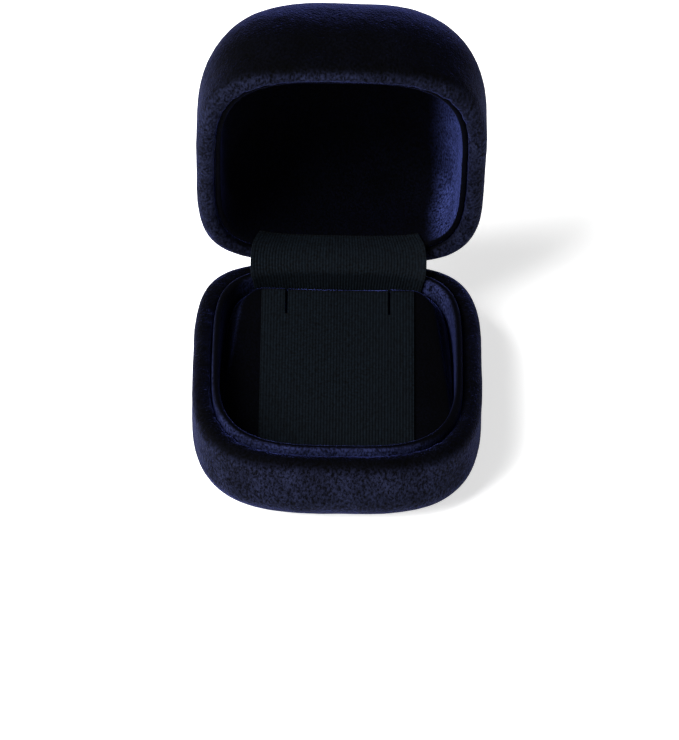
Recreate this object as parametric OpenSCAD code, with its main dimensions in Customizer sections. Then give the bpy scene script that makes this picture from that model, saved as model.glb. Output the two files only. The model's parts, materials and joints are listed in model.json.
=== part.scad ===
// Velvet-covered clamshell gift box for earrings, drawn with its lid standing open.
// Origin: the middle of the underside. +Z is up, -Y is the front, and +X is the right-hand side.

/* [Box] */
// Width of the box, side to side
box_w = 62; // [56:1:70]
// Depth of the box, front to back
box_d = 68; // [60:1:76]
// Height of the closed box
box_h = 50; // [46:1:56]
// Height at which the lid parts from the base
part_h = 19; // [17:1:22]
// Angle to which the lid stands open
open_angle = 76; // [60:1:78]

/* [Outline] */
// Squareness of the plan outline's front half (2 is an ellipse)
front_squareness = 3.4; // [2.6:0.1:4.5]
// Squareness of the plan outline's back half
back_squareness = 4.3; // [3.4:0.1:6]
// Size of the rounded lower edge of the base
base_edge_r = 8; // [6:0.5:10]
// Size of the rounded upper edge of the lid
lid_edge_r = 21; // [14:0.5:24]
// Fullness of both rounded edges (2 is a circular arc)
edge_fullness = 1.8; // [1.6:0.1:2.2]
// Radius of the rolled outer rim of the lid and the base
rim_r = 2.4; // [2:0.1:2.6]

/* [Layers] */
// Thickness of the outer velvet
velvet_t = 0.8; // [0.6:0.1:1]
// Thickness of the foam under the velvet
foam_t = 1; // [0.8:0.1:1.2]
// Thickness of the moulded shells
shell_t = 1.6; // [1.4:0.1:1.8]
// Thickness of the velvet where it is pressed over the rim and round the linings
lining_t = 0.5; // [0.4:0.1:0.6]
// Thickness of the lining boards
board_t = 0.6; // [0.5:0.1:0.8]
// Thickness of the panel under the base
patch_t = 0.6; // [0.4:0.1:0.8]
// How far the base's lining stands above the rim
collar_proud = 1; // [0.6:0.1:1.1]

/* [Insert] */
// Forward slope of the insert
pad_tilt = 10; // [8:0.5:11]
// Width of the insert's back edge
pad_back_w = 36; // [30:1:38]
// Distance between the two slits for earring posts
slit_spacing = 22.4; // [16:0.2:28]
// Length of each slit
slit_len = 8; // [5:0.5:10]
// Width of the ribbed band along the middle of the insert
band_w = 33; // [26:1:34]

/* [Hinge] */
// Length of the hinge barrel
hinge_w = 27; // [22:1:30]
// Outer radius of the barrel
barrel_r = 1; // [0.8:0.05:1.1]
// Radius of the hinge pin
pin_r = 0.5; // [0.4:0.05:0.55]
// Width of the ribbed strip that covers the hinge inside
strip_w = 38; // [30:1:38]

/* [Hidden] */
$fn = 32;

NAVY = "#1a2148";
RIB_BLACK = "#0d1216";
FOAM = "#e6e2d4";
PLASTIC = "#3a3d42";
BOARD = "#b8a88a";
STEEL = "#b9bcc0";

outline_sides = 48;
edge_steps = 5;
rim_steps = 3;
rim_gap = 0.15;          // from the parting plane to each rim

// Depth of each layer's outer face below the surface
foam_in = velvet_t;
shell_in = foam_in + foam_t;
return_in = shell_in + shell_t;
return_end = return_in + lining_t;
return_drop = 4;         // how far the velvet turns down inside the wall
return_corner = 1.1;
crease = 0.3;            // between the turned-in velvet and each lining

// Both linings are boards with velvet folded round them
board_in = return_end + crease + lining_t;
collar_in = board_in + board_t + lining_t;
collar_outer_leg = 4;
collar_low = 12.5;       // below the parting plane
liner_board_in = return_end + crease;
liner_velvet_in = liner_board_in + board_t;
liner_in = liner_velvet_in + lining_t;
liner_edge = 1.3;        // above the parting plane
liner_rise = 9.5;
foam_slack = 0.05;       // left round the foam and under the rims

// Each half's height from the parting plane. The base stands on its bottom panel
base_h = part_h - patch_t;
lid_h = box_h - part_h;
floor_z = patch_t + return_in;
panel_inset = base_edge_r + 0.5;
tuck_inset = base_edge_r + 4;

// The insert's top passes through its back edge and slopes down to the front
insert_gap = 0.3;
pad_back_y = box_d / 2 - collar_in - 2.6;
pad_back_z = part_h - 1.1;
pad_corner = [3.2, 4];   // how far each back corner is cut, across and along
pad_flare = 0.12;        // how much the sides widen towards the front
cover_t = 0.5;
band_t = 0.4;
band_margin = 0.6;       // from the insert's back and front edges
pad_foam_t = 1.4;
pad_board_t = 1;
slit_w = 0.7;
insert_block_inset = base_edge_r + 0.2;

// The hinge axis lies in the groove between the two rims
axis_y = box_d / 2 - 1.5;
axis_z = part_h;
leaf_t = 0.5;
leaf_h = 8;
knuckles = 5;
knuckle_gap = 0.2;
knuckle_w = (hinge_w - (knuckles - 1) * knuckle_gap) / knuckles;
running_gap = 0.05;
groove_r = barrel_r + 0.5;
groove_w = hinge_w + 5;
pocket_gap = 0.05;
rivet_spacing = 16;
rivet_drop = 6;
rivet_r = 0.8;
rivet_head_r = 1.3;
rivet_head_t = 0.35;
wire_r = 0.15;
coil_r = pin_r + 0.05 + wire_r;
coil_turns = 3;
coil_steps = 14;
coil_pitch = 0.36;
spring_leg = 5;
spring_x = hinge_w / 2 + 0.3;
pin_end_x = spring_x + coil_turns * coil_pitch + 0.4;
strip_t = 0.5;
strip_gap = 0.15;
strip_low = 9;           // below the parting plane
strip_rise = 4.5;        // above it, inside the lid
strip_steps = 12;

// ---- Outline and swept surfaces ----

function signed_power(v, p) = sign(v) * pow(abs(v), p);
function backwards(list) = [for (i = [len(list) - 1 : -1 : 0]) list[i]];

// The plan outline, drawn in by inset
function outline(inset) = [
    for (i = [0 : outline_sides - 1])
        let (t = 360 * i / outline_sides, p = 2 / (sin(t) < 0 ? front_squareness : back_squareness))
            [(box_w / 2 - inset) * signed_power(cos(t), p), (box_d / 2 - inset) * signed_power(sin(t), p)]
];

// Where the back of that outline is at x
function back_y(inset, x) = (box_d / 2 - inset)
    * pow(1 - pow(abs(x) / (box_w / 2 - inset), back_squareness), 1 / back_squareness);

// Profiles are lists of [inset, away], where away is the distance from the parting plane.

// The wall and rounded edge of a half of height h, at the given depth below its surface
function rounded_edge(r, h, depth) = [
    for (i = [0 : edge_steps])
        let (t = 90 * i / edge_steps, p = 2 / edge_fullness)
            [r - (r - depth) * pow(cos(t), p), h - r + (r - depth) * pow(sin(t), p)]
];

// A quarter circle that starts at angle a
function quarter(centre, r, a) = [
    for (i = [0 : rim_steps])
        let (t = a + 90 * i / rim_steps) centre + r * [cos(t), sin(t)]
];

// The rolled rim at the given depth, from the wall to the flat of the rim
function rim_roll(depth) = quarter([rim_r, rim_gap + rim_r], rim_r - depth, 180);

// Joins equal rings of points into a solid: a closed loop of rings, or a row with its ends capped.
// Walls that twist are split into triangles
module skin(rings, closed, split = false) {
    n = len(rings[0]);
    rows = len(rings);
    walls = [
        for (r = [0 : rows - (closed ? 1 : 2)]) for (i = [0 : n - 1])
            let (
                next = (i + 1) % n, row = r * n, after = ((r + 1) % rows) * n,
                wall = [row + i, row + next, after + next, after + i]
            )
                each (split ? [[wall[0], wall[1], wall[2]], [wall[0], wall[2], wall[3]]] : [wall])
    ];
    caps = [[for (i = [n - 1 : -1 : 0]) i], [for (i = [0 : n - 1]) (rows - 1) * n + i]];
    polyhedron([for (ring = rings) each ring], closed ? walls : concat(walls, caps), convexity = 8);
}

// Sweeps a profile round the outline, upwards for the lid (up = 1) or downwards for the base (up = -1)
module sweep(profile, up, closed) {
    path = up > 0 ? profile : backwards(profile);
    skin([for (p = path) [for (q = outline(p.x)) [q.x, q.y, part_h + up * p.y]]], closed);
}

// A straight-walled solid of the outline between two heights
module prism(inset, low, high) {
    translate([0, 0, low]) linear_extrude(high - low) polygon(outline(inset));
}

module on_open_lid() {
    translate([0, axis_y, axis_z]) rotate([-open_angle, 0, 0]) translate([0, -axis_y, -axis_z]) children();
}

// ---- Layers that the base and the lid share ----

// Velvet over the outside, rolled over the rim and turned in, with its raw edges at tuck
function velvet_profile(r, h, tuck = []) = concat(
    [for (inset = tuck) [inset, h]],
    backwards(rounded_edge(r, h, 0)),
    rim_roll(0),
    quarter([return_end - return_corner, rim_gap + return_corner], return_corner, 270),
    [[return_end, return_drop], [return_in, return_drop], [return_in, rim_gap + velvet_t]],
    backwards(rim_roll(velvet_t)),
    rounded_edge(r, h, velvet_t),
    [for (inset = tuck) [inset, h - velvet_t]]
);

// The foam and the shell end just under the rolled velvet, along the same facets
function under_rim() = rim_roll(velvet_t + foam_slack);

// Where the foam meets the shell's outer face there
function shell_rim() = let (a = under_rim()[rim_steps - 1], b = under_rim()[rim_steps])
    [shell_in, a.y + (b.y - a.y) * (shell_in - a.x) / (b.x - a.x)];

function foam_profile(r, h) = concat(
    backwards(rounded_edge(r, h, foam_in)),
    [for (i = [0 : rim_steps - 1]) under_rim()[i]],
    [shell_rim()],
    rounded_edge(r, h, shell_in)
);

function shell_profile(r, h) = concat(
    backwards(rounded_edge(r, h, shell_in)),
    [shell_rim(), under_rim()[rim_steps], [return_in, under_rim()[rim_steps].y]],
    rounded_edge(r, h, return_in)
);

// ---- Hinge, drawn with its axis along X through the origin and its leaf away from the parting plane ----

module at_hinge() {
    translate([0, axis_y, axis_z]) children();
}

module along_x(length, r, x = 0) {
    translate([x, 0, 0]) rotate([0, 90, 0]) cylinder(h = length, r = r, center = true);
}

// The middles of the knuckles that belong to one leaf: every second one, from the first
function knuckle_x(first) = [
    for (k = [first : 2 : knuckles - 1]) (k - (knuckles - 1) / 2) * (knuckle_w + knuckle_gap)
];

module at_rivets(up) {
    for (x = [-0.5, 0.5] * rivet_spacing)
        translate([x, 0, up * rivet_drop]) rotate([90, 0, 0]) children();
}

module leaf(up, first, bore_r) {
    difference() {
        union() {
            translate([-hinge_w / 2, -barrel_r, up > 0 ? 0 : -leaf_h]) cube([hinge_w, leaf_t, leaf_h]);
            for (x = knuckle_x(first)) along_x(knuckle_w, barrel_r, x);
        }
        for (x = knuckle_x(1 - first)) along_x(knuckle_w + 2 * knuckle_gap, barrel_r + knuckle_gap, x);
        along_x(hinge_w + 1, bore_r);
        at_rivets(up) cylinder(h = 3 * barrel_r, r = rivet_r + pocket_gap, center = true);
    }
}

// Each rivet runs through the leaf and the shell, with a head on either side
module rivets(up) {
    front = barrel_r - leaf_t;
    back = return_in - (box_d / 2 - axis_y) + 0.05;
    at_rivets(up) {
        translate([0, 0, front]) cylinder(h = back - front, r = rivet_r);
        translate([0, 0, front - rivet_head_t]) cylinder(h = rivet_head_t, r = rivet_head_r);
        translate([0, 0, back]) cylinder(h = rivet_head_t, r = rivet_head_r);
    }
}

// Room for the barrel and the springs in one half's layers
module barrel_room() {
    at_hinge() along_x(groove_w, groove_r);
}

// Room for the barrel, the leaf and its rivets, whose holes have radius r
module hinge_room(up, r) {
    barrel_room();
    at_hinge() {
        translate([-groove_w / 2, -barrel_r - pocket_gap, up > 0 ? 0 : -leaf_h - pocket_gap])
            cube([groove_w, leaf_t + 2 * pocket_gap, leaf_h + pocket_gap]);
        at_rivets(up) cylinder(h = 2 * return_in, r = r, center = true);
    }
}

// One torsion spring: a straight leg that lies in the base, then its coils round the pin
module spring() {
    leg = [[spring_x, 180, spring_leg]];
    coil = [
        for (i = [0 : coil_turns * coil_steps])
            [spring_x + coil_pitch * i / coil_steps, 180 - 360 * i / coil_steps, 0]
    ];
    skin([
        for (s = concat(leg, coil))
            let (out = [0, cos(s.y), sin(s.y)], along = [0, -sin(s.y), cos(s.y)])
                [
                    for (k = [0 : 60 : 300])
                        [s.x + wire_r * sin(k), 0, 0] + (coil_r + wire_r * cos(k)) * out + s.z * along
                ]
    ], false);
}

// ---- Insert ----

// The plan of the insert: the cavity's outline, narrowed towards the back
module insert_plan(inset) {
    back = pad_back_y - inset;
    half = pad_back_w / 2 - inset;
    wide = half + pad_corner.x + pad_flare * box_d;
    right = [[half, back], [half + pad_corner.x, back - pad_corner.y], [wide, back - pad_corner.y - box_d]];
    intersection() {
        prism(collar_in + insert_gap + inset, 0, part_h);
        linear_extrude(part_h) polygon(concat(right, [for (p = backwards(right)) [-p.x, p.y]]));
    }
}

// The space between two depths below the insert's sloping top
module slope(top, bottom) {
    translate([0, pad_back_y, pad_back_z]) rotate([pad_tilt, 0, 0])
        translate([-box_w, -2 * box_d, -bottom]) cube([2 * box_w, 3 * box_d, bottom - top]);
}

module slits() {
    for (x = [-0.5, 0.5] * slit_spacing)
        translate([x - slit_w / 2, pad_back_y - slit_len, 0]) cube([slit_w, slit_len + 1, box_h]);
}

module insert_layer(inset, top, bottom) {
    difference() {
        intersection() {
            insert_plan(inset);
            slope(top, bottom);
        }
        slits();
    }
}

// ---- Base sub-parts ----

module base_bottom_panel() {
    color(NAVY) prism(panel_inset, 0, patch_t);
}

module base_velvet() {
    color(NAVY) difference() {
        sweep(velvet_profile(base_edge_r, base_h, [tuck_inset]), -1, true);
        barrel_room();
    }
}

module base_foam_wrap() {
    color(FOAM) difference() {
        sweep(foam_profile(base_edge_r, base_h), -1, false);
        hinge_room(-1, rivet_head_r + 0.1);
    }
}

module base_shell() {
    color(PLASTIC) difference() {
        sweep(shell_profile(base_edge_r, base_h), -1, false);
        hinge_room(-1, rivet_r + pocket_gap);
    }
}

module collar_board() {
    top = part_h + collar_proud - lining_t - 0.2;
    color(BOARD) difference() {
        prism(board_in, part_h - collar_low, top);
        prism(board_in + board_t, 0, box_h);
    }
}

// Velvet folded over the board's top edge, with a short leg outside and a full one inside
module collar_velvet() {
    top = 0.2 + lining_t - collar_proud;
    fold_r = (collar_in - board_in + lining_t) / 2;
    fold = [board_in - lining_t + fold_r, fold_r - collar_proud];
    color(NAVY) sweep(concat(
        [[board_in, collar_outer_leg], [board_in - lining_t, collar_outer_leg]],
        quarter(fold, fold_r, 180),
        quarter(fold, fold_r, 270),
        [
            [collar_in, collar_low], [board_in + board_t, collar_low],
            [board_in + board_t, top], [board_in, top]
        ]
    ), -1, true);
}

module insert_block() {
    color(FOAM) intersection() {
        prism(insert_block_inset, floor_z, part_h);
        slope(cover_t + pad_foam_t + pad_board_t, box_h);
    }
}

module insert_board() {
    color(BOARD) insert_layer(cover_t, cover_t + pad_foam_t, cover_t + pad_foam_t + pad_board_t);
}

module insert_foam() {
    color(FOAM) insert_layer(cover_t, cover_t, cover_t + pad_foam_t);
}

module insert_cover() {
    color(NAVY) difference() {
        insert_layer(0, 0, cover_t + pad_foam_t + pad_board_t);
        intersection() {
            insert_plan(cover_t);
            slope(cover_t, box_h);
        }
    }
}

// Ribbed cloth laid along the middle of the cover
module insert_band() {
    color(RIB_BLACK) intersection() {
        insert_layer(band_margin, -band_t, 0);
        translate([-band_w / 2, -box_d, 0]) cube([band_w, 2 * box_d, box_h]);
    }
}

// ---- Hinge sub-parts ----

module hinge_leaf_base() {
    color(STEEL) at_hinge() leaf(-1, 0, pin_r);
}

module hinge_rivets_base() {
    color(STEEL) at_hinge() rivets(-1);
}

module hinge_pin() {
    color(STEEL) at_hinge() {
        along_x(2 * pin_end_x, pin_r);
        for (side = [-1, 1]) along_x(0.4, pin_r + 0.3, side * pin_end_x);
    }
}

module hinge_springs() {
    color(STEEL) at_hinge() {
        spring();
        mirror([1, 0, 0]) spring();
    }
}

// One section of the ribbed strip, which follows the linings' curve from side to side
function strip_section(x) =
    let (
        base_y = back_y(collar_in + strip_gap, x),
        base_top = part_h + collar_proud + strip_gap,
        lid_y = back_y(liner_in + strip_gap, x),
        outer = [[lid_y, liner_edge], [lid_y, strip_rise]],
        shut = concat(outer, [for (p = backwards(outer)) p - [strip_t, 0]]),
        on_lid = [for (p = shut) let (y = p.x - axis_y) [
            axis_y + y * cos(open_angle) + p.y * sin(open_angle),
            axis_z - y * sin(open_angle) + p.y * cos(open_angle)
        ]]
    )
    [for (p = concat(
        [[base_y, part_h - strip_low], [base_y, base_top]],
        on_lid,
        [[base_y - strip_t, base_top + strip_t / 2], [base_y - strip_t, part_h - strip_low]]
    )) [x, p.x, p.y]];

// The ribbed strip inside: down behind the insert, and up against the lid's lining
module hinge_strip() {
    color(RIB_BLACK)
        skin([for (i = [0 : strip_steps]) strip_section(strip_w * (0.5 - i / strip_steps))], false, true);
}

// ---- Lid sub-parts ----

module lid_velvet() {
    color(NAVY) on_open_lid() difference() {
        sweep(velvet_profile(lid_edge_r, lid_h), 1, false);
        barrel_room();
    }
}

module lid_foam_wrap() {
    color(FOAM) on_open_lid() difference() {
        sweep(foam_profile(lid_edge_r, lid_h), 1, false);
        hinge_room(1, rivet_head_r + 0.1);
    }
}

module lid_shell() {
    color(PLASTIC) on_open_lid() difference() {
        sweep(shell_profile(lid_edge_r, lid_h), 1, false);
        hinge_room(1, rivet_r + pocket_gap);
    }
}

module lid_lining_board() {
    color(BOARD) on_open_lid() difference() {
        prism(liner_board_in, part_h + liner_edge + lining_t, part_h + liner_rise);
        prism(liner_velvet_in, 0, box_h);
    }
}

// Padding between the shell and the lining, above the board
module lid_lining_foam() {
    color(FOAM) on_open_lid() sweep(concat(
        backwards(rounded_edge(lid_edge_r, lid_h, return_in + foam_slack)),
        [[return_in + foam_slack, liner_rise + 0.2], [liner_velvet_in - foam_slack, liner_rise + 0.2]],
        rounded_edge(lid_edge_r, lid_h, liner_velvet_in - foam_slack)
    ), 1, false);
}

// Velvet over the dome's inside, folded under the board's edge
module lid_lining_velvet() {
    fold = lining_t / 2;
    color(NAVY) on_open_lid() sweep(concat(
        backwards(rounded_edge(lid_edge_r, lid_h, liner_velvet_in)),
        [
            [liner_velvet_in, liner_edge + lining_t], [liner_board_in, liner_edge + lining_t],
            [liner_board_in, liner_edge + fold], [liner_board_in + fold, liner_edge],
            [liner_in - fold, liner_edge], [liner_in, liner_edge + fold]
        ],
        rounded_edge(lid_edge_r, lid_h, liner_in)
    ), 1, false);
}

module hinge_leaf_lid() {
    color(STEEL) on_open_lid() at_hinge() leaf(1, 1, pin_r + running_gap);
}

module hinge_rivets_lid() {
    color(STEEL) on_open_lid() at_hinge() rivets(1);
}

base_bottom_panel();
base_velvet();
base_foam_wrap();
base_shell();
collar_board();
collar_velvet();
insert_block();
insert_board();
insert_foam();
insert_cover();
insert_band();
hinge_leaf_base();
hinge_rivets_base();
hinge_pin();
hinge_springs();
hinge_strip();
lid_velvet();
lid_foam_wrap();
lid_shell();
lid_lining_board();
lid_lining_foam();
lid_lining_velvet();
hinge_leaf_lid();
hinge_rivets_lid();
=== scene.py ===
"""A velvet-covered clamshell box for earrings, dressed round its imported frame."""
import json
import math

import bmesh
import bpy
from bpy.props import FloatProperty, IntProperty, PointerProperty, StringProperty
from mathutils import Matrix, Vector, noise
from mathutils.geometry import interpolate_bezier


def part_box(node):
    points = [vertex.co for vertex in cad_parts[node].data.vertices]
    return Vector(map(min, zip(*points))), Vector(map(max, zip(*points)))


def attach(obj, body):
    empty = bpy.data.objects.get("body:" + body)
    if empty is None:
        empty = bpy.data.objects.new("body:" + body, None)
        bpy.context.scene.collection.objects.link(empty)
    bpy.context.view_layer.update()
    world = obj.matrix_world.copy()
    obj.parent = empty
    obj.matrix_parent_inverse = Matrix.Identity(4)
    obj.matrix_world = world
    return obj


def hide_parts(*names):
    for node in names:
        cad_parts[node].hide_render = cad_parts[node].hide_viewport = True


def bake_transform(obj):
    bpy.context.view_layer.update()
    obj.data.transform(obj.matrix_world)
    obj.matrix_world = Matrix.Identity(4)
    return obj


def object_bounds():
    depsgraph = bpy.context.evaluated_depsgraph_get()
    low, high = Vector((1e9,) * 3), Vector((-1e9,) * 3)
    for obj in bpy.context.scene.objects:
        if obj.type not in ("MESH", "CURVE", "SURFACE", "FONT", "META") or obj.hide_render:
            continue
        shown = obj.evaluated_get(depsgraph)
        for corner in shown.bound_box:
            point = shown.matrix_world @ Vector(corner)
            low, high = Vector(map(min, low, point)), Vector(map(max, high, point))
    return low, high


bl_info = {
    "name": "Velvet Gift Box",
    "version": (1, 0, 0),
    "blender": (4, 5, 0),
    "location": "3D View > Sidebar > Gift Box",
    "description": "Dresses the frame of a clamshell earring box in velvet and ribbed cloth",
    "category": "Object",
}

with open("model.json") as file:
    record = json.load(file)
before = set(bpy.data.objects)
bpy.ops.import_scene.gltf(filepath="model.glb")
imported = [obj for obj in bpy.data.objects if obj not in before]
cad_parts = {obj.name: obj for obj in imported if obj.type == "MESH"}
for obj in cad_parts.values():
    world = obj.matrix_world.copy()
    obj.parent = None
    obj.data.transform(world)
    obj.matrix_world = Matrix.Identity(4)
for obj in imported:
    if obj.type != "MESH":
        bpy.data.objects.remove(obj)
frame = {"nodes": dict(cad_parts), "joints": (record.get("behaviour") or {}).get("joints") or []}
CAD_LOW, CAD_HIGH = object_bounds()
# Low and high corner of each frame node, which never moves
BOXES = {node: tuple(Vector(corner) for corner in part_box(node)) for node in frame["nodes"]}

MM = 0.001
BASE, LID = "base", "lid"
HINGE = frame["joints"][0]
HINGE_AT = Vector(HINGE["pos_m"])
HINGE_AXIS = Vector(HINGE["axis"])
OPEN_ANGLE = math.radians(HINGE["range_deg"][1])
RIM_Z = HINGE_AT.z
# Carries a point of the shut lid to where the open lid holds it
OPENING = (
    Matrix.Translation(HINGE_AT)
    @ Matrix.Rotation(-OPEN_ANGLE, 4, HINGE_AXIS)
    @ Matrix.Translation(-HINGE_AT)
)

# Inset at which a cover's flat closes over the middle of the box
MIDDLE = 30 * MM
# Folds of the gathered velvet: their height, and how many of each kind fit round the box
FOLD_HEIGHT = 0.18 * MM
BROAD_FOLDS, FINE_FOLDS = 46, 71
# Mesh resolution: arcs of the rounded edges, points round the insert, columns for each rib
EDGE_STEPS = 18
INSERT_COUNT = 260
COLUMNS_A_RIB = 6
# Power of the insert's outline, which rounds its corners slightly
CORNER_POWER = 60
# Steps of the hinge strip: up behind the insert, round the hinge, and along the lid
RISE_STEPS, BEND_STEPS, LID_STEPS = 12, 22, 6
LIGHT_DISTANCE = 0.85


# ---- Settings ----


def length(name, description, millimetres):
    return FloatProperty(
        name=name, description=description, default=millimetres * MM, min=0, unit="LENGTH", precision=5
    )


def number(name, description, value):
    return FloatProperty(name=name, description=description, default=value)


def angle(name, description, degrees):
    return FloatProperty(name=name, description=description, default=math.radians(degrees), subtype="ANGLE")


def colour(name, description, value):
    return StringProperty(name=name, description=description, default=value)


class BoxShape(bpy.types.PropertyGroup):
    """The outline and the layers, which the covers share with the frame"""

    front_squareness: number("Front squareness", "Squareness of the outline's front half", 3.4)
    back_squareness: number("Back squareness", "Squareness of the outline's back half", 4.3)
    fullness: number("Edge fullness", "Fullness of the rounded edges, where 2 is a circular arc", 1.8)
    base_edge: length("Base edge", "Size of the rounded lower edge", 8)
    lid_edge: length("Lid edge", "Size of the rounded upper edge", 21)
    rim_gap: length("Rim gap", "From the parting plane to each rim", 0.15)
    rim_apex: length("Rim crest", "From the outside to the crest of the rolled rim", 2.3)
    rim_rise: length("Rim roll", "Height over which the outside turns into the crest", 2.7)
    rim_fall: length("Inner roll", "Height over which the crest turns down inside", 1.0)
    velvet: length("Velvet", "Thickness of the outer velvet with its pile", 0.8)
    wall: length("Wall", "From the outside to the inner face of the shell", 3.4)
    turned_in: length("Turned-in edge", "From the outside to the face of the turned-in velvet", 3.9)
    turned_down: length("Turn-down", "How far the velvet turns down inside the wall", 4)
    tuck: length("Tuck", "How far the velvet is turned under the base, from the outside", 12)
    groove: length("Hinge groove", "Radius of the groove that clears the hinge barrel", 1.5)
    groove_width: length("Groove width", "Width of that groove", 32)
    round_count: IntProperty(name="Points round", description="Points round the outline", default=280, min=48)


class LiningShape(bpy.types.PropertyGroup):
    """The velvet-covered boards inside both halves"""

    collar_outer: length("Collar outside", "From the box's outside to the outside of the base's lining", 4.2)
    collar_inner: length("Collar inside", "From the box's outside to the inside of the base's lining", 5.8)
    collar_leg: length("Collar leg", "How far the velvet hangs down outside the board", 4)
    liner_outer: length("Liner outside", "From the box's outside to the outside of the lid's lining", 4.2)
    liner_back: length("Liner back", "From the box's outside to the back of the lid's lining velvet", 4.8)
    liner_inner: length("Liner inside", "From the box's outside to the face of the lid's lining", 5.3)
    cloth: length("Lining velvet", "Thickness of the lining velvet", 0.5)


class InsertShape(bpy.types.PropertyGroup):
    """The sloping insert, its ribbed band and the ribbed strip behind it"""

    tilt: angle("Tilt", "Forward slope of the insert", 10)
    back_width: length("Back width", "Width of the back edge", 36)
    corner_across: length("Corner across", "Width of each cut back corner", 3.2)
    corner_along: length("Corner along", "Depth of each cut back corner", 4)
    flare: number("Flare", "How much each side widens for each unit of depth", 0.12)
    gap: length("Gap", "Between the insert and the lining", 0.3)
    drop: length("Flank", "Height of the insert's flanks", 2.9)
    edge: length("Edge", "Radius of the soft upper edge", 0.9)
    lean: length("Lean", "How far the flanks lean out where there is room", 2.2)
    crown: length("Crown", "How much the padding lifts the middle", 0.35)
    slit_spacing: length("Slit spacing", "Between the two slits", 22.4)
    slit_length: length("Slit length", "Length of each slit from the back edge", 8)
    slit_width: length("Slit width", "Width of each slit", 0.6)
    slit_depth: length("Slit depth", "Depth of each slit from the back edge's height", 2.4)
    tab_sag: length("Tab sag", "How far the tab between the slits is pressed down", 0.3)
    rib_pitch: length("Rib pitch", "Distance between the ribs of the ribbed cloth", 0.65)
    rib_height: length("Rib height", "Height of each rib", 0.18)
    strip_taper: number("Strip taper", "Share by which the strip narrows towards its ends", 0.1)
    cloth: length("Ribbed cloth", "Thickness of the ribbed cloth under its ribs", 0.22)


class BoxColours(bpy.types.PropertyGroup):
    """sRGB colours of the finishes"""

    velvet: colour("Velvet", "Ground colour of the outer velvet", "#0a0c18")
    velvet_sheen: colour("Velvet sheen", "Tint of the light that the pile catches", "#5560b8")
    lining: colour("Lining", "Ground colour of the lining velvet", "#101327")
    lining_sheen: colour("Lining sheen", "Tint of the light that the lining's pile catches", "#6a78e0")
    # Painted light: a lighter copy of the lining's ground, for the same cloth where it is lit inside the dome
    dome: colour("Dome", "Ground colour of the dome's velvet", "#20264b")
    ribbed: colour("Ribbed cloth", "Colour of the ribbed cloth", "#03060a")
    foam: colour("Foam", "Colour of the foam", "#d9d4c2")
    shell: colour("Shell", "Colour of the moulded shells", "#2a2c31")
    board: colour("Board", "Colour of the lining board", "#9c8c70")
    steel: colour("Steel", "Colour of the plated hinge", "#b4b7bc")
    floor: colour("Floor", "Colour of the studio floor", "#f4f4f4")


class StudioView(bpy.types.PropertyGroup):
    """The camera's place"""

    elevation: angle("Elevation", "Height of the camera above the horizon", 40.0)
    azimuth: angle("Azimuth", "Turn of the camera round the box", -0.6)
    roll: angle("Roll", "Roll of the camera", 1.4)
    distance: FloatProperty(
        name="Distance", description="From the camera to the box", default=1.132, unit="LENGTH"
    )
    lens: FloatProperty(name="Lens", description="Focal length in millimetres", default=258.3, unit="CAMERA")
    shift_x: number("Shift across", "Sideways shift of the view", 0.0012)
    shift_y: number("Shift up", "Upward shift of the view", -0.087)


# ---- Materials ----


def linear(hex_colour):
    """Turns an sRGB hex colour to linear RGBA."""
    channels = [int(hex_colour[i : i + 2], 16) / 255 for i in (1, 3, 5)]
    return [c / 12.92 if c <= 0.04045 else ((c + 0.055) / 1.055) ** 2.4 for c in channels] + [1.0]


def add(tree, kind, links=None, **settings):
    """Adds a node, sets its properties or its inputs' values, and links its inputs."""
    node = tree.nodes.new("ShaderNode" + kind)
    for name, value in settings.items():
        if hasattr(node, name):
            setattr(node, name, value)
        else:
            node.inputs[name.replace("_", " ")].default_value = value
    for name, source in (links or {}).items():
        tree.links.new(source, node.inputs[name])
    return node


def new_material(name, **settings):
    """A material with its tree, its Principled shader and its Object coordinates."""
    material = bpy.data.materials.new(name)
    material.use_nodes = True
    tree = material.node_tree
    tree.nodes.clear()
    shader = add(tree, "BsdfPrincipled")
    for socket, value in settings.items():
        shader.inputs[socket.replace("_", " ")].default_value = value
    output = add(tree, "OutputMaterial")
    tree.links.new(shader.outputs["BSDF"], output.inputs["Surface"])
    place = add(tree, "TexCoord").outputs["Object"]
    return material, tree, shader, place


def shade_base(tree, shader, ground, share):
    """Gives the shader its ground colour times a share that varies from place to place."""
    tint = add(tree, "VectorMath", {"Scale": share}, operation="SCALE")
    tint.inputs[0].default_value = linear(ground)[:3]
    tree.links.new(tint.outputs["Vector"], shader.inputs["Base Color"])


def emboss(tree, shader, height, strength, depth_mm, over=None):
    """Gives the shader a relief, laid over another Bump node's if one is given."""
    links = {"Height": height}
    if over:
        links["Normal"] = over.outputs["Normal"]
    bump = add(tree, "Bump", links, Strength=strength, Distance=depth_mm * MM)
    tree.links.new(bump.outputs["Normal"], shader.inputs["Normal"])
    return bump


def per_metre(millimetres):
    """The Scale of a texture whose features are this many millimetres apart."""
    return 1 / (millimetres * MM)


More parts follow.
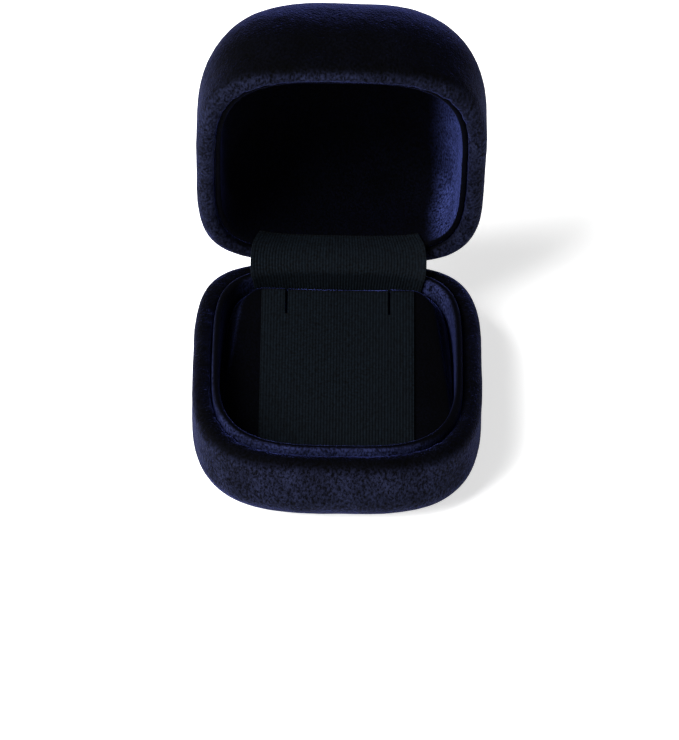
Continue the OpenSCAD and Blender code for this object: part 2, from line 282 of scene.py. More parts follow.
def velvet(name, ground, sheen, *, sheen_weight, tuft_mm, relief_mm, lean, shade_ramp, shaded_share, nap_mm):
    """Short-pile cotton velvet: a cut pile that swallows light seen straight on and catches it at a
    grazing angle. Its tufts show as a fine grain, and pile brushed different ways as soft patches.
    It has painted light and shade: the colour stays full where the cloth faces lean, the side that
    the lamps light, and darkens where it faces away; deep is how much of the colour that painted shade
    leaves. The change comes between the two cosines in fade."""
    material, tree, shader, place = new_material(
        name,
        Roughness=0.85,
        Specular_IOR_Level=0.02,
        Sheen_Weight=sheen_weight,
        Sheen_Roughness=0.25,
        Sheen_Tint=linear(sheen),
    )
    # Pile leans down the wall, so the tufts read as short strokes a little longer than wide
    strokes = add(tree, "Mapping", {"Vector": place}, Scale=(1.0, 1.0, 0.6), Rotation=(0.2, 0.0, 0.5))
    tufts = add(
        tree, "TexNoise", {"Vector": strokes.outputs["Vector"]},
        Scale=per_metre(tuft_mm), Detail=2.5, Roughness=0.65,
    )
    nap = add(tree, "TexNoise", {"Vector": place}, Scale=per_metre(nap_mm), Detail=3.0, Roughness=0.55)
    patches = add(
        tree, "MapRange", {"Value": nap.outputs["Fac"]},
        From_Min=0.35, From_Max=0.65, To_Min=0.65, To_Max=1.3,
    )
    grain = add(
        tree, "MapRange", {"Value": tufts.outputs["Fac"]},
        From_Min=0.38, From_Max=0.64, To_Min=0.1, To_Max=2.4,
    )
    # Painted shade: faces turned away from lean, the side that the lamps light, keep only a share of the colour
    toward_lit_side = add(
        tree, "VectorMath", {0: add(tree, "TexCoord").outputs["Normal"]}, operation="DOT_PRODUCT"
    )
    toward_lit_side.inputs[1].default_value = Vector(lean).normalized()
    # sides is the share of the colour that this painted shade leaves
    sides = add(
        tree, "MapRange", {"Value": toward_lit_side.outputs["Value"]},
        interpolation_type="SMOOTHSTEP", From_Min=shade_ramp[0], From_Max=shade_ramp[1], To_Min=shaded_share, To_Max=1.0,
    )
    both = add(
        tree, "Math", {0: patches.outputs["Result"], 1: grain.outputs["Result"]}, operation="MULTIPLY"
    )
    every = add(tree, "Math", {0: both.outputs["Value"], 1: sides.outputs["Result"]}, operation="MULTIPLY")
    shade_base(tree, shader, ground, every.outputs["Value"])
    fine = emboss(tree, shader, tufts.outputs["Fac"], 0.9, relief_mm)
    emboss(tree, shader, nap.outputs["Fac"], 0.6, 3.0 * relief_mm, over=fine)
    return material


def ribbed_cloth(name, ground):
    """Polyester grosgrain: fine weft over thick warp cords, matt and nearly black. The cords are in
    the mesh, and the weft that crosses them is drawn here as a fine grain along the cords."""
    material, tree, shader, place = new_material(
        name, Roughness=0.8, Specular_IOR_Level=0.04, Sheen_Weight=0.004, Sheen_Roughness=0.5
    )
    across = add(tree, "Mapping", {"Vector": place}, Scale=(0.5, 1.0, 1.0))
    weft = add(
        tree, "TexNoise", {"Vector": across.outputs["Vector"]}, Scale=per_metre(0.35), Detail=2.0, Roughness=0.7
    )
    shade = add(
        tree, "MapRange", {"Value": weft.outputs["Fac"]},
        From_Min=0.35, From_Max=0.65, To_Min=0.25, To_Max=1.9,
    )
    shade_base(tree, shader, ground, shade.outputs["Result"])
    emboss(tree, shader, weft.outputs["Fac"], 0.8, 0.06)
    return material


def closed_cell_foam(ground):
    """Polyethylene foam: pale, matt, with cells about a third of a millimetre across."""
    material, tree, shader, place = new_material("closed_cell_foam", Roughness=0.95, Specular_IOR_Level=0.2)
    cells = add(tree, "TexVoronoi", {"Vector": place}, Scale=per_metre(0.35))
    shade = add(tree, "MapRange", {"Value": cells.outputs["Distance"]}, To_Min=1.05, To_Max=0.7)
    shade_base(tree, shader, ground, shade.outputs["Result"])
    emboss(tree, shader, cells.outputs["Distance"], 0.5, 0.08)
    return material


def moulded_plastic(ground):
    """Injection-moulded polystyrene with a fine spark-eroded grain, so its gloss is broken up."""
    material, tree, shader, place = new_material("moulded_polystyrene", IOR=1.55)
    grain = add(tree, "TexNoise", {"Vector": place}, Scale=per_metre(0.4), Detail=3.0)
    rough = add(tree, "MapRange", {"Value": grain.outputs["Fac"]}, To_Min=0.42, To_Max=0.58)
    tree.links.new(rough.outputs["Result"], shader.inputs["Roughness"])
    shader.inputs["Base Color"].default_value = linear(ground)
    emboss(tree, shader, grain.outputs["Fac"], 0.3, 0.03)
    return material


def grey_board(ground):
    """Recycled grey board: matt pressed fibres, with flecks a millimetre or so long."""
    material, tree, shader, place = new_material("grey_board", Roughness=0.95, Specular_IOR_Level=0.2)
    fibres = add(tree, "TexNoise", {"Vector": place}, Scale=per_metre(1.2), Detail=6.0, Roughness=0.75)
    shade = add(tree, "MapRange", {"Value": fibres.outputs["Fac"]}, To_Min=0.7, To_Max=1.2)
    shade_base(tree, shader, ground, shade.outputs["Result"])
    emboss(tree, shader, fibres.outputs["Fac"], 0.4, 0.05)
    return material


def plated_steel(ground):
    """Pressed steel with bright nickel plate: rolled lines about 0.2 mm apart run along the barrel."""
    material, tree, shader, place = new_material("plated_steel", Metallic=1.0)
    along = add(tree, "Mapping", {"Vector": place}, Scale=(0.06, 1.0, 1.0))
    lines = add(tree, "TexNoise", {"Vector": along.outputs["Vector"]}, Scale=per_metre(0.2), Detail=3.0)
    rough = add(tree, "MapRange", {"Value": lines.outputs["Fac"]}, To_Min=0.22, To_Max=0.4)
    tree.links.new(rough.outputs["Result"], shader.inputs["Roughness"])
    shader.inputs["Base Color"].default_value = linear(ground)
    emboss(tree, shader, lines.outputs["Fac"], 0.2, 0.01)
    return material


def material_once(name, make):
    """Makes a shared material the first time that it's asked for."""
    return bpy.data.materials.get(name) or make()


def outer_velvet():
    """The covers' velvet, with painted shade that darkens its faces turned upwards."""
    c, name = bpy.context.scene.box_colours, "navy_pile_velvet_painted_shade"
    return material_once(name, lambda: velvet(
        name, c.velvet, c.velvet_sheen, sheen_weight=0.3, tuft_mm=0.5, relief_mm=0.35,
        lean=(0, 0, -1), shade_ramp=(-0.85, 0.1), shaded_share=0.08, nap_mm=7.0,
    ))


def lining_velvet():
    """The lining's velvet in the base, with painted light and shade: faces turned forwards and to the left,
    towards the key light, keep their colour, and the rest darken.
    """
    c, name = bpy.context.scene.box_colours, "navy_lining_velvet_painted_shade"
    return material_once(name, lambda: velvet(
        name, c.lining, c.lining_sheen, sheen_weight=0.3, tuft_mm=0.4, relief_mm=0.12,
        lean=(-0.5, -0.8, -0.2), shade_ramp=(-0.1, 0.7), shaded_share=0.02, nap_mm=10.0,
    ))


def dome_velvet():
    """The dome's velvet: a lighter copy of the base's lining as painted light, with painted shade that leaves
    only its faces turned to the left, towards the key light, lit.
    """
    c, name = bpy.context.scene.box_colours, "navy_dome_velvet_painted_light"
    return material_once(name, lambda: velvet(
        name, c.dome, c.lining_sheen, sheen_weight=0.12, tuft_mm=0.4, relief_mm=0.12,
        lean=(-1.0, 0.35, 0.0), shade_ramp=(0.3, 0.95), shaded_share=0.015, nap_mm=10.0,
    ))


def rib_cloth():
    """The grosgrain that the band and the hinge strip share."""
    c, name = bpy.context.scene.box_colours, "ribbed_grosgrain"
    return material_once(name, lambda: ribbed_cloth(name, c.ribbed))


# ---- Shapes ----


def finish_piece(bm, name, material):
    """Makes a bmesh a smooth-shaded object at the origin, with its normals outwards."""
    bmesh.ops.recalc_face_normals(bm, faces=bm.faces)
    mesh = bpy.data.meshes.new(name)
    bm.to_mesh(mesh)
    bm.free()
    mesh.shade_smooth()
    mesh.materials.append(material)
    piece = bpy.data.objects.new(name, mesh)
    bpy.context.scene.collection.objects.link(piece)
    return piece


def unit_outline(bearing):
    """Where the plan outline lies in one direction, as shares of its half width and half depth."""
    shape = bpy.context.scene.box_shape
    across, along = math.cos(bearing), math.sin(bearing)
    power = shape.front_squareness if along < 0 else shape.back_squareness
    reach = (abs(across) ** power + abs(along) ** power) ** (-1 / power)
    return Vector((reach * across, reach * along))


def outline_point(inset, share):
    """The point of the outline, drawn in by inset, that has the given shares."""
    high = BOXES["base_velvet"][1]
    return Vector(((high.x - inset) * share.x, (high.y - inset) * share.y))


def even_shares(count):
    """Shares of count points that are spaced evenly round the outline."""
    fine = 12 * count
    shares = [unit_outline(math.tau * i / fine) for i in range(fine + 1)]
    travelled = [0.0]
    for a, b in zip(shares, shares[1:]):
        travelled.append(travelled[-1] + (outline_point(0, b) - outline_point(0, a)).length)
    even, i = [], 0
    for k in range(count):
        goal = travelled[-1] * k / count
        while travelled[i + 1] < goal:
            i += 1
        between = (goal - travelled[i]) / (travelled[i + 1] - travelled[i])
        even.append(unit_outline(math.tau * (i + between) / fine))
    return even


def back_y(inset, x):
    """Where the back of the outline, drawn in by inset, is at x."""
    high, power = BOXES["base_velvet"][1], bpy.context.scene.box_shape.back_squareness
    return (high.y - inset) * (1 - (abs(x) / (high.x - inset)) ** power) ** (1 / power)


def swept_rings(profile, place, count):
    """A bmesh that starts from a circle and is extruded ring by ring. place(k, point) puts point k of
    a ring where the profile's point says."""
    bm = bmesh.new()
    ring = bmesh.ops.create_circle(bm, segments=count, radius=1.0)["verts"]
    for k, v in enumerate(ring):
        v.co = place(k, profile[0])
    for point in profile[1:]:
        edges = [bm.edges.get((ring[k - 1], ring[k])) for k in range(count)]
        made = bmesh.ops.extrude_edge_only(bm, edges=edges)["geom"]
        fresh = {v for v in made if isinstance(v, bmesh.types.BMVert)}
        ring = [next(e.other_vert(v) for e in v.link_edges if e.other_vert(v) in fresh) for v in ring]
        for k, v in enumerate(ring):
            v.co = place(k, point)
    return bm


def round_the_box(profile, up, closed, detail=None):
    """Sweeps a profile of (inset, away) round the outline, where away is the distance from the parting
    plane: upwards for the lid (up is 1) or downwards for the base (up is -1). detail(share, inset, away)
    may change a point. A closed profile joins up, and an open one has its ends capped."""
    shares = even_shares(bpy.context.scene.box_shape.round_count)

    def place(k, point):
        inset, away = detail(shares[k], *point) if detail else point
        plan = outline_point(inset, shares[k])
        return (plan.x, plan.y, RIM_Z + up * away)

    bm = swept_rings(profile + profile[:1] if closed else profile, place, len(shares))
    if closed:
        bmesh.ops.remove_doubles(bm, verts=bm.verts, dist=0.001 * MM)
    else:
        bmesh.ops.holes_fill(bm, edges=[e for e in bm.edges if e.is_boundary], sides=0)
    return bm


def curve_points(centre, radii, start, end, steps, power=1.0):
    """Points of an ellipse's arc from angle start to end, in degrees; power below 1 makes it fuller."""
    points = []
    for i in range(steps + 1):
        t = math.radians(start + (end - start) * i / steps)
        x, y = (math.copysign(abs(f) ** power, f) for f in (round(math.cos(t), 12), round(math.sin(t), 12)))
        points.append((centre[0] + radii[0] * x, centre[1] + radii[1] * y))
    return points


def rounded_edge(size, height, depth):
    """The rounded edge of a half, from its wall to its flat, at a depth below the surface."""
    power = 2 / bpy.context.scene.box_shape.fullness
    return curve_points((size, height - size), (depth - size, size - depth), 0, 90, EDGE_STEPS, power)


def stretch(a, b, steps):
    """Points from a up to, but not counting, b."""
    return [tuple(p + (q - p) * i / steps for p, q in zip(a, b)) for i in range(steps)]


def rim_crest(depth):
    """The rolled rim from the outer wall over the crest and down inside, at a depth below the surface."""
    s = bpy.context.scene.box_shape
    crest = (s.rim_apex, s.rim_gap + s.rim_rise)
    outside = curve_points(crest, (depth - s.rim_apex, depth - s.rim_rise), 0, 90, 12, 0.95)
    end = s.turned_in if depth == 0 else s.wall
    fall = s.rim_fall if depth == 0 else s.rim_fall - 0.3 * MM
    inside = curve_points((s.rim_apex, s.rim_gap + depth + fall), (end - s.rim_apex, -fall), 90, 0, 8, 0.9)
    return outside + inside[1:]


def velvet_profile(edge, height, tuck):
    """The velvet of one half as a closed loop: in over the outside, round the rim, and back behind."""
    s = bpy.context.scene.box_shape
    outside = rounded_edge(edge, height, 0)[::-1]
    behind = rounded_edge(edge, height, s.velvet)
    crest, under = rim_crest(0), rim_crest(s.velvet)[::-1]
    end_out, end_in = (tuck, height), (tuck, height - s.velvet)
    return (
        stretch(end_out, outside[0], 3)
        + outside[:-1] + stretch(outside[-1], crest[0], 6)
        + crest + [(s.turned_in, s.turned_down), (s.wall, s.turned_down)]
        + under[:-1] + stretch(under[-1], behind[0], 3)
        + behind + [end_in]
    )


def soften(bm, amount, size, seed):
    """Moves each point in or out by smooth noise, so that the cloth over foam isn't perfectly even."""
    bm.normal_update()
    for v in bm.verts:
        v.co += v.normal * amount * noise.noise(v.co / size + Vector((seed, 0, 0)))


def clear_barrel(bm):
    """Presses the cloth back from the hinge barrel, all round the hinge's axis."""
    s = bpy.context.scene.box_shape
    for v in bm.verts:
        away = Vector((0, v.co.y - HINGE_AT.y, v.co.z - HINGE_AT.z))
        end = abs(v.co.x) - s.groove_width / 2
        radius = s.groove * (1 if end < 0 else max(0.0, 1 - (end / (1.5 * MM)) ** 2))
        if 0 < away.length < radius:
            v.co = Vector((v.co.x, HINGE_AT.y, HINGE_AT.z)) + away.normalized() * radius


def gathers(share, inset, away):
    """Small folds where the velvet is drawn in round the inner corners of the rim."""
    s = bpy.context.scene.box_shape
    if inset > s.rim_apex and away < s.turned_down:
        depth = min(1.0, (inset - s.rim_apex) / (s.turned_in - s.rim_apex))
        bearing = math.atan2(share.y, share.x)
        corner = abs(math.sin(2 * bearing)) ** 3
        folds = math.sin(BROAD_FOLDS * bearing) + 0.6 * math.sin(FINE_FOLDS * bearing + 1.3)
        away += FOLD_HEIGHT * depth * corner * folds
    return inset, away


def dress(piece, body, slot, *nodes):
    """Hides the frame nodes that a piece stands for and attaches the piece to the body that it rides on. slot
    is not used.
    """
    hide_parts(*nodes)
    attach(piece, body)


def half_height(node):
    """Height of one half from the parting plane, with the lid shut."""
    back = OPENING.inverted() if node.startswith(LID) else Matrix.Identity(4)
    return max(abs((back @ v.co).z - RIM_Z) for v in frame["nodes"][node].data.vertices)


# ---- Base ----


class GIFTBOX_OT_base_velvet(bpy.types.Operator):
    """Covers the base in velvet, rolled over its rim"""

    bl_idname = "giftbox.base_velvet"
    bl_label = "Base velvet"

    def execute(self, context):
        s = context.scene.box_shape
        profile = velvet_profile(s.base_edge, half_height("base_velvet"), s.tuck)
        bm = round_the_box(profile, -1, True, gathers)
        soften(bm, 0.10 * MM, 8 * MM, 3.0)
        soften(bm, 0.035 * MM, 2.2 * MM, 9.0)
        clear_barrel(bm)
        piece = finish_piece(bm, "base_velvet_cover", outer_velvet())
        dress(piece, BASE, "outer_velvet", "base_velvet")
        return {"FINISHED"}


class GIFTBOX_OT_base_panel(bpy.types.Operator):
    """Makes the velvet panel that the box stands on"""

    bl_idname = "giftbox.base_panel"
    bl_label = "Base panel"

    def execute(self, context):
        low, high = BOXES["base_bottom_panel"]
        top, bottom = RIM_Z - high.z, RIM_Z - low.z
        edge = BOXES["base_velvet"][1].x - high.x
        r = 0.35 * MM
        profile = (
            [(MIDDLE, bottom), (20 * MM, bottom), (12 * MM, bottom)]
            + curve_points((edge + r, bottom - r), (-r, r), 90, 0, 5)
            + [(edge, top), (12 * MM, top), (MIDDLE, top)]
        )
        piece = finish_piece(round_the_box(profile, -1, False), "base_panel_velvet", outer_velvet())
        dress(piece, BASE, "outer_velvet", "base_bottom_panel")
        return {"FINISHED"}


class GIFTBOX_OT_base_lining(bpy.types.Operator):
    """Folds velvet over the lining board that stands above the base's rim"""

    bl_idname = "giftbox.base_lining"
    bl_label = "Base lining"

    def execute(self, context):
        lining = context.scene.lining_shape
        low, high = BOXES["collar_velvet"]
        top, foot = RIM_Z - high.z, RIM_Z - low.z
        board_top = RIM_Z - BOXES["collar_board"][1].z
        r = (lining.collar_inner - lining.collar_outer) / 2
        middle = lining.collar_outer + r
        inner, outer = lining.collar_inner - lining.cloth, lining.collar_outer + lining.cloth
        profile = (
            [(outer, lining.collar_leg), (lining.collar_outer, lining.collar_leg)]
            + stretch((lining.collar_outer, lining.collar_leg - 0.4 * MM), (lining.collar_outer, top + r), 4)
            + curve_points((middle, top + r), (r, r), 180, 360, 16)
            + stretch((lining.collar_inner, top + 1.4 * r), (lining.collar_inner, foot), 10)
            + [(lining.collar_inner, foot), (inner, foot), (inner, board_top), (outer, board_top)]
        )
        bm = round_the_box(profile, -1, True)
        soften(bm, 0.05 * MM, 6 * MM, 21.0)
        piece = finish_piece(bm, "base_lining_velvet", lining_velvet())
        dress(piece, BASE, "lining_velvet", "collar_velvet")
        return {"FINISHED"}


# ---- Insert ----


def insert_reach(bearing, inset, lean):
    """Distance from the insert's middle to its edge in one direction. Its edge follows the lining, and
    is cut back behind by straight lines that lean moves outwards; the corners between are rounded."""
    scene = bpy.context.scene
    shape, n = scene.box_shape, scene.insert_shape
    high = BOXES["base_velvet"][1]
    back = BOXES["insert_cover"][1].y
    across, along = math.cos(bearing), math.sin(bearing)
    power = shape.front_squareness if along < 0 else shape.back_squareness
    draw_in = scene.lining_shape.collar_inner + n.gap + inset
    half_x, half_y = high.x - draw_in, high.y - draw_in
    reach = [((abs(across) / half_x) ** power + (abs(along) / half_y) ** power) ** (1 / power)]
    side = n.back_width / 2
    cut = Vector((n.corner_along, n.corner_across)).normalized()
    slope = Vector((1, n.flare)).normalized()
    lines = [
        (Vector((0, 1)), Vector((0, back))),
        (cut, Vector((side, back))),
        (slope, Vector((side + n.corner_across, back - n.corner_along))),
    ]
    direction = Vector((abs(across), along))
    for normal, through in lines:
        edge = normal.dot(through) - inset + lean
        reach.append(max(0.0, normal.dot(direction)) / edge)
    return sum(r**CORNER_POWER for r in reach) ** (-1 / CORNER_POWER)


def insert_top(x, y):
    """Height of the insert's padded top: it slopes forwards, is crowned, and its middle tab is pressed."""
    n = bpy.context.scene.insert_shape
    low, high = BOXES["insert_cover"]
    sloping = high.z - (high.y - y) * math.tan(n.tilt)
    half_x, half_y = (high.x - low.x) / 2, (high.y - low.y) / 2
    off_x, off_y = x / half_x, (y - (high.y + low.y) / 2) / half_y
    crown = n.crown * max(0.0, 1 - off_x**4) * max(0.0, 1 - off_y**4)
    tab = max(0.0, 1 - abs(x) / (n.slit_spacing / 2)) ** 0.25
    near_back = max(0.0, 1 - (high.y - y) / n.slit_length)
    return sloping + crown - n.tab_sag * tab * near_back**1.5


def cut_away(piece, cutter):
    """Cuts one mesh from another for good, and removes the cutter."""
    modifier = piece.modifiers.new("cut", "BOOLEAN")
    modifier.object = cutter
    modifier.solver = "EXACT"
    cut_mesh = bpy.data.meshes.new_from_object(
        piece.evaluated_get(bpy.context.evaluated_depsgraph_get())
    )
    piece.modifiers.clear()
    piece.data = cut_mesh
    bpy.data.objects.remove(cutter)


def slit_cutter():
    """Two thin boxes where the insert's slits go."""
    n = bpy.context.scene.insert_shape
    high = BOXES["insert_cover"][1]
    bm = bmesh.new()
    for side in (-0.5, 0.5):
        size = Matrix.Diagonal((n.slit_width, n.slit_length + 4 * MM, 2 * n.slit_depth, 1.0))
        middle = Vector((side * n.slit_spacing, high.y - n.slit_length / 2 + 2 * MM, high.z))
        bmesh.ops.create_cube(bm, size=1.0, matrix=Matrix.Translation(middle) @ size)
    return finish_piece(bm, "slit_cutter", lining_velvet())


class GIFTBOX_OT_insert_cover(bpy.types.Operator):
    """Makes the padded velvet insert with its two slits"""

    bl_idname = "giftbox.insert_cover"
    bl_label = "Insert cover"

    def execute(self, context):
        n = context.scene.insert_shape
        flank = [(0.0, n.drop, 1.0), (0.0, n.drop * 0.7, 0.8), (0.0, n.edge + 0.5 * MM, 0.3)]
        edge = [(i, d, 0.0) for i, d in curve_points((n.edge, n.edge), (n.edge, n.edge), 180, 270, 6)]
        inside = [(n.edge + 25 * MM * (i / 16) ** 1.2, 0.0, 0.0) for i in range(1, 15)]
        under = [(20 * MM, n.drop, 0.0), (0.6 * MM, n.drop, 0.8)]

        def place(k, point):
            inset, depth, lean_share = point
            bearing = math.tau * k / INSERT_COUNT
            # Past its edge, the top is drawn in towards the middle as a share of its reach
            reach = insert_reach(bearing, min(inset, n.edge), n.lean * lean_share)
            reach *= 1 - max(0.0, inset - n.edge) / (25.5 * MM)
            x, y = reach * math.cos(bearing), reach * math.sin(bearing)
            return (x, y, insert_top(x, y) - depth)

        bm = swept_rings(under + flank + edge + inside, place, INSERT_COUNT)
        bmesh.ops.holes_fill(bm, edges=[e for e in bm.edges if e.is_boundary], sides=0)
        bmesh.ops.triangulate(bm, faces=[f for f in bm.faces if len(f.verts) > 4])
        soften(bm, 0.06 * MM, 5 * MM, 31.0)
        piece = finish_piece(bm, "insert_velvet_cover", lining_velvet())
        cut_away(piece, slit_cutter())
        dress(piece, BASE, "lining_velvet", "insert_cover")
        return {"FINISHED"}


def rib_lift(x):
    """Height of the ribbed cloth's cords across its width."""
    n = bpy.context.scene.insert_shape
    return n.rib_height * abs(math.sin(math.pi * x / n.rib_pitch)) ** 0.8


def ribbed_grid(width, length_steps):
    """A grid whose columns follow the ribs across a width. Its x is in metres, and its y from 0 to 1."""
    n = bpy.context.scene.insert_shape
    columns = round(width / n.rib_pitch) * COLUMNS_A_RIB
    bm = bmesh.new()
    bmesh.ops.create_grid(bm, x_segments=columns, y_segments=length_steps, size=0.5)
    for v in bm.verts:
        v.co = Vector((v.co.x * width, v.co.y + 0.5, 0))
    return bm


class GIFTBOX_OT_insert_band(bpy.types.Operator):
    """Lays the ribbed band along the middle of the insert"""

    bl_idname = "giftbox.insert_band"
    bl_label = "Insert band"

    def execute(self, context):
        n = context.scene.insert_shape
        low, high = BOXES["insert_band"]
        width = high.x - low.x
        back, front = high.y, low.y
        bm = ribbed_grid(width, 90)
        slit_front = BOXES["insert_cover"][1].y - n.slit_length
        gone = []
        for face in bm.faces:
            middle = face.calc_center_median()
            off = abs(abs(middle.x) - n.slit_spacing / 2)
            if off < n.slit_width / 2 and front + middle.y * (back - front) > slit_front:
                gone.append(face)
        bmesh.ops.delete(bm, geom=gone, context="FACES")
        for v in bm.verts:
            x, y = v.co.x, front + v.co.y * (back - front)
            # The front edge follows the lining's curve
            bearing = math.atan2(front, x)
            front_here = insert_reach(bearing, 0.8 * MM, 0) * math.sin(bearing)
            y = front_here + v.co.y * (back - front_here)
            over_edge = max(0.0, 1 - (back - y) / (1.2 * MM))
            lift = n.cloth + rib_lift(x) - 0.5 * MM * over_edge**2
            v.co = Vector((x, y, insert_top(x, y) + lift))
        area = sum(f.calc_area() for f in bm.faces)
        bmesh.ops.recalc_face_normals(bm, faces=bm.faces)
        if sum(f.normal.z for f in bm.faces) < 0:
            bmesh.ops.reverse_faces(bm, faces=bm.faces)
        bmesh.ops.solidify(bm, geom=bm.faces, thickness=n.cloth)
        piece = finish_piece(bm, "insert_ribbed_band", rib_cloth())
        dress(piece, BASE, "ribbed_cloth", "insert_band")
        return {"FINISHED"}


# ---- Hinge strip ----


def strip_path(x):
    """The strip's middle line at x: up behind the insert, over the lining, and along the lid."""
    lining, cloth = bpy.context.scene.lining_shape, bpy.context.scene.insert_shape.cloth
    gap = cloth + 0.15 * MM
    behind = back_y(lining.collar_inner + gap, x)
    on_lid = back_y(lining.liner_inner + gap, x)
    foot = Vector((x, behind, BOXES["hinge_strip"][0].z))
    turn_low = Vector((x, behind, RIM_Z + 0.6 * MM))
    turn_high = OPENING @ Vector((x, on_lid, RIM_Z + 1.8 * MM))
    top = OPENING @ Vector((x, on_lid, RIM_Z + 4.4 * MM))
    leave = turn_low + Vector((0, 0, 1.5 * MM))
    arrive = turn_high + (turn_high - top).normalized() * 1.8 * MM
    rise = [foot.lerp(turn_low, i / RISE_STEPS) for i in range(RISE_STEPS)]
    bend = interpolate_bezier(turn_low, leave, arrive, turn_high, BEND_STEPS)
    on_top = [turn_high.lerp(top, i / LID_STEPS) for i in range(1, LID_STEPS + 1)]
    return rise + list(bend) + on_top


class GIFTBOX_OT_hinge_strip(bpy.types.Operator):
    """Stretches the ribbed strip over the inside of the hinge"""

    bl_idname = "giftbox.hinge_strip"
    bl_label = "Hinge strip"

    def execute(self, context):
        n = context.scene.insert_shape
        low, high = BOXES["hinge_strip"]
        width = high.x - low.x
        middle = strip_path(0)
        steps = len(middle) - 1
        bm = ribbed_grid(width, steps)
        paths = {}
        for v in bm.verts:
            i = round(v.co.y * steps)
            x = round(v.co.x * (1 - n.strip_taper * min(1.0, ((v.co.y - 0.55) / 0.45) ** 2)), 7)
            if x not in paths:
                paths[x] = strip_path(x)
            path = paths[x]
            ahead = path[min(i + 1, steps)] - path[max(i - 1, 0)]
            inward = Vector((0, -ahead.z, ahead.y)).normalized()
            v.co = path[i] + inward * rib_lift(v.co.x)
        bmesh.ops.recalc_face_normals(bm, faces=bm.faces)
        if sum(f.normal.y for f in bm.faces) > 0:
            bmesh.ops.reverse_faces(bm, faces=bm.faces)
        area = sum(f.calc_area() for f in bm.faces)
        bmesh.ops.solidify(bm, geom=bm.faces, thickness=n.cloth)
        piece = finish_piece(bm, "hinge_ribbed_strip", rib_cloth())
        long_way = sum((b - a).length for a, b in zip(middle, middle[1:]))
        start, end = middle[RISE_STEPS], middle[-LID_STEPS - 1]
        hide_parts("hinge_strip")
        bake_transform(piece)
        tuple(start)
        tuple(end)
        return {"FINISHED"}


# ---- Lid ----


class GIFTBOX_OT_lid_velvet(bpy.types.Operator):
    """Covers the domed lid in velvet, rolled over its rim"""

    bl_idname = "giftbox.lid_velvet"
    bl_label = "Lid velvet"

    def execute(self, context):
        s = context.scene.box_shape
        height = half_height("lid_velvet")
        top = (30.2 * MM, height)
        under = (30.2 * MM, height - s.velvet)
        # The loop's two ends are replaced by ones that close over the middle of the dome
        profile = velvet_profile(s.lid_edge, height, s.lid_edge)[3:-1]
        bm = round_the_box(stretch(top, profile[0], 8) + profile + [under], 1, False, gathers)
        soften(bm, 0.12 * MM, 9 * MM, 5.0)
        soften(bm, 0.035 * MM, 2.2 * MM, 15.0)
        clear_barrel(bm)
        bmesh.ops.transform(bm, matrix=OPENING, verts=bm.verts)
        piece = finish_piece(bm, "lid_velvet_cover", outer_velvet())
        dress(piece, LID, "outer_velvet", "lid_velvet")
        return {"FINISHED"}


class GIFTBOX_OT_lid_lining(bpy.types.Operator):
    """Lines the lid's dome with velvet, folded under its board's edge"""

    bl_idname = "giftbox.lid_lining"
    bl_label = "Lid lining"

    def execute(self, context):
        s, lining = context.scene.box_shape, context.scene.lining_shape
        height = half_height("lid_velvet")
        back = OPENING.inverted()
        edge = min((back @ v.co).z for v in frame["nodes"]["lid_lining_velvet"].data.vertices) - RIM_Z
        outside = rounded_edge(s.lid_edge, height, lining.liner_back)[::-1]
        face = rounded_edge(s.lid_edge, height, lining.liner_inner)
        # A short leg hides the outside of the board
        leg = lining.liner_outer - 0.2 * MM
        r = (lining.liner_inner - leg) / 2
        fold = curve_points((leg + r, edge + r * 0.8), (r, r * 0.8), 180, 360, 10)
        behind = edge + lining.cloth + 0.1 * MM
        flat = height - lining.liner_inner
        profile = (
            [(MIDDLE, height - lining.liner_back)]
            + outside
            + [(lining.liner_back, behind), (lining.liner_outer, behind)]
            + [(lining.liner_outer, edge + 3 * MM), (leg, edge + 3 * MM)]
            + fold
            + stretch((lining.liner_inner, edge + 2 * r), face[0], 8)
            + face
            + stretch((s.lid_edge + 2 * MM, flat), (MIDDLE, flat), 6)
        )
        bm = round_the_box(profile, 1, False)
        soften(bm, 0.08 * MM, 8 * MM, 41.0)
        bmesh.ops.transform(bm, matrix=OPENING, verts=bm.verts)
        piece = finish_piece(bm, "lid_lining_cover", dome_velvet())
        dress(piece, LID, "lining_velvet", "lid_lining_velvet")
        return {"FINISHED"}


# ---- Parts that stay as the frame has them ----


class GIFTBOX_OT_inner_parts(bpy.types.Operator):
    """Gives the shells, foams, boards and hinge parts their finishes"""

    bl_idname = "giftbox.inner_parts"
    bl_label = "Inner parts"

    def execute(self, context):
        colours = context.scene.box_colours
        foam, shell = closed_cell_foam(colours.foam), moulded_plastic(colours.shell)
        board, steel = grey_board(colours.board), plated_steel(colours.steel)
        finishes = {
            foam: ["base_foam_wrap", "lid_foam_wrap", "lid_lining_foam", "insert_block", "insert_foam"],
            shell: ["base_shell", "lid_shell"],
            board: ["collar_board", "lid_lining_board", "insert_board"],
            steel: [
                "hinge_leaf_base", "hinge_leaf_lid", "hinge_rivets_base", "hinge_rivets_lid",
                "hinge_pin", "hinge_springs",
            ],
        }
        for material, nodes in finishes.items():
            for node in nodes:
                slots = frame["nodes"][node].data.materials
                slots.clear()
                slots.append(material)
        return {"FINISHED"}


# ---- Studio ----


def look_matrix(target, azimuth, elevation, roll, distance):
    """Where a camera or light stands to look at target from that side."""
    back = Vector((
        math.sin(azimuth) * math.cos(elevation),
        -math.cos(azimuth) * math.cos(elevation),
        math.sin(elevation),
    ))
    right = Vector((math.cos(azimuth), math.sin(azimuth), 0))
    up = back.cross(right)
    turned_right = right * math.cos(roll) + up * math.sin(roll)
    turned_up = up * math.cos(roll) - right * math.sin(roll)
    matrix = Matrix((turned_right, turned_up, back)).transposed().to_4x4()
    matrix.translation = target + back * distance
    return matrix


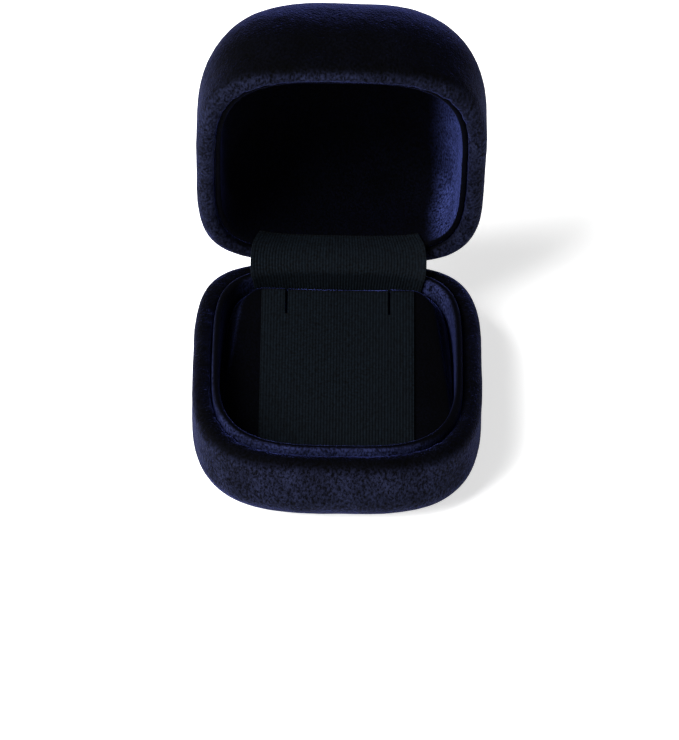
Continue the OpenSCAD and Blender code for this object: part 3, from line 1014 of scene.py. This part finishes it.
def softbox(name, target, watts, size, azimuth, elevation):
    """A square studio light that faces the target."""
    data = bpy.data.lights.new(name, "AREA")
    data.energy = watts
    data.shape = "SQUARE"
    data.size = size
    light = bpy.data.objects.new(name, data)
    azimuth, elevation = math.radians(azimuth), math.radians(elevation)
    light.matrix_world = look_matrix(target, azimuth, elevation, 0, LIGHT_DISTANCE)
    bpy.context.scene.collection.objects.link(light)


class GIFTBOX_OT_studio(bpy.types.Operator):
    """Sets up the pale floor, the soft lights and the camera"""

    bl_idname = "giftbox.studio"
    bl_label = "Studio"

    def execute(self, context):
        scene, view = context.scene, context.scene.studio_view
        bm = bmesh.new()
        bmesh.ops.create_grid(bm, x_segments=1, y_segments=1, size=4.0)
        bmesh.ops.translate(bm, verts=bm.verts, vec=(0, 0, CAD_LOW.z))
        # A light table: it glows enough to stay white round the box's shadow
        material, tree, shader, place = new_material(
            "studio_floor", Roughness=0.9, Specular_IOR_Level=0.1, Emission_Strength=0.62,
            Emission_Color=linear(scene.box_colours.floor),
        )
        paper = add(tree, "TexNoise", {"Vector": place}, Scale=per_metre(400), Detail=1.0)
        shade = add(tree, "MapRange", {"Value": paper.outputs["Fac"]}, To_Min=0.99, To_Max=1.0)
        shade_base(tree, shader, scene.box_colours.floor, shade.outputs["Result"])
        floor = finish_piece(bm, "studio_floor", material)

        target = Vector((0, 5 * MM, 30 * MM))
        softbox("key_light", target, watts=25.0, size=0.65, azimuth=-58, elevation=40)
        softbox("right_light", target, watts=2.5, size=0.5, azimuth=65, elevation=15)
        world = bpy.data.worlds.new("studio_world")
        world.use_nodes = True
        background = world.node_tree.nodes["Background"]
        background.inputs["Color"].default_value = (1, 1, 1, 1)
        background.inputs["Strength"].default_value = 0.12
        scene.world = world

        data = bpy.data.cameras.new("product_camera")
        data.lens = view.lens
        data.sensor_width = 36
        data.shift_x, data.shift_y = view.shift_x, view.shift_y
        data.clip_start, data.clip_end = 0.05, 20
        camera = bpy.data.objects.new("product_camera", data)
        camera.matrix_world = look_matrix(target, view.azimuth, view.elevation, view.roll, view.distance)
        scene.collection.objects.link(camera)
        scene.camera = camera
        scene.view_settings.view_transform = "Standard"
        return {"FINISHED"}


STEPS = (
    GIFTBOX_OT_base_velvet,
    GIFTBOX_OT_base_panel,
    GIFTBOX_OT_base_lining,
    GIFTBOX_OT_insert_cover,
    GIFTBOX_OT_insert_band,
    GIFTBOX_OT_lid_velvet,
    GIFTBOX_OT_lid_lining,
    GIFTBOX_OT_hinge_strip,
    GIFTBOX_OT_inner_parts,
    GIFTBOX_OT_studio,
)
GROUPS = {
    "box_shape": BoxShape,
    "lining_shape": LiningShape,
    "insert_shape": InsertShape,
    "box_colours": BoxColours,
    "studio_view": StudioView,
}


class GIFTBOX_PT_panel(bpy.types.Panel):
    """Lists the pieces and their settings"""

    bl_idname = "GIFTBOX_PT_panel"
    bl_label = "Gift Box"
    bl_space_type = "VIEW_3D"
    bl_region_type = "UI"
    bl_category = "Gift Box"

    def draw(self, context):
        for step in STEPS:
            self.layout.operator(step.bl_idname)
        for name in GROUPS:
            group = getattr(context.scene, name)
            box = self.layout.box()
            for setting in group.__annotations__:
                box.prop(group, setting)


def register():
    for cls in (*GROUPS.values(), *STEPS, GIFTBOX_PT_panel):
        bpy.utils.register_class(cls)
    for name, group in GROUPS.items():
        setattr(bpy.types.Scene, name, PointerProperty(type=group))


def unregister():
    for name in GROUPS:
        delattr(bpy.types.Scene, name)
    for cls in reversed((*GROUPS.values(), *STEPS, GIFTBOX_PT_panel)):
        bpy.utils.unregister_class(cls)


def main():
    register()
    for step in STEPS:
        family, name = step.bl_idname.split(".")
        getattr(getattr(bpy.ops, family), name)()


if __name__ == "__main__":
    main()
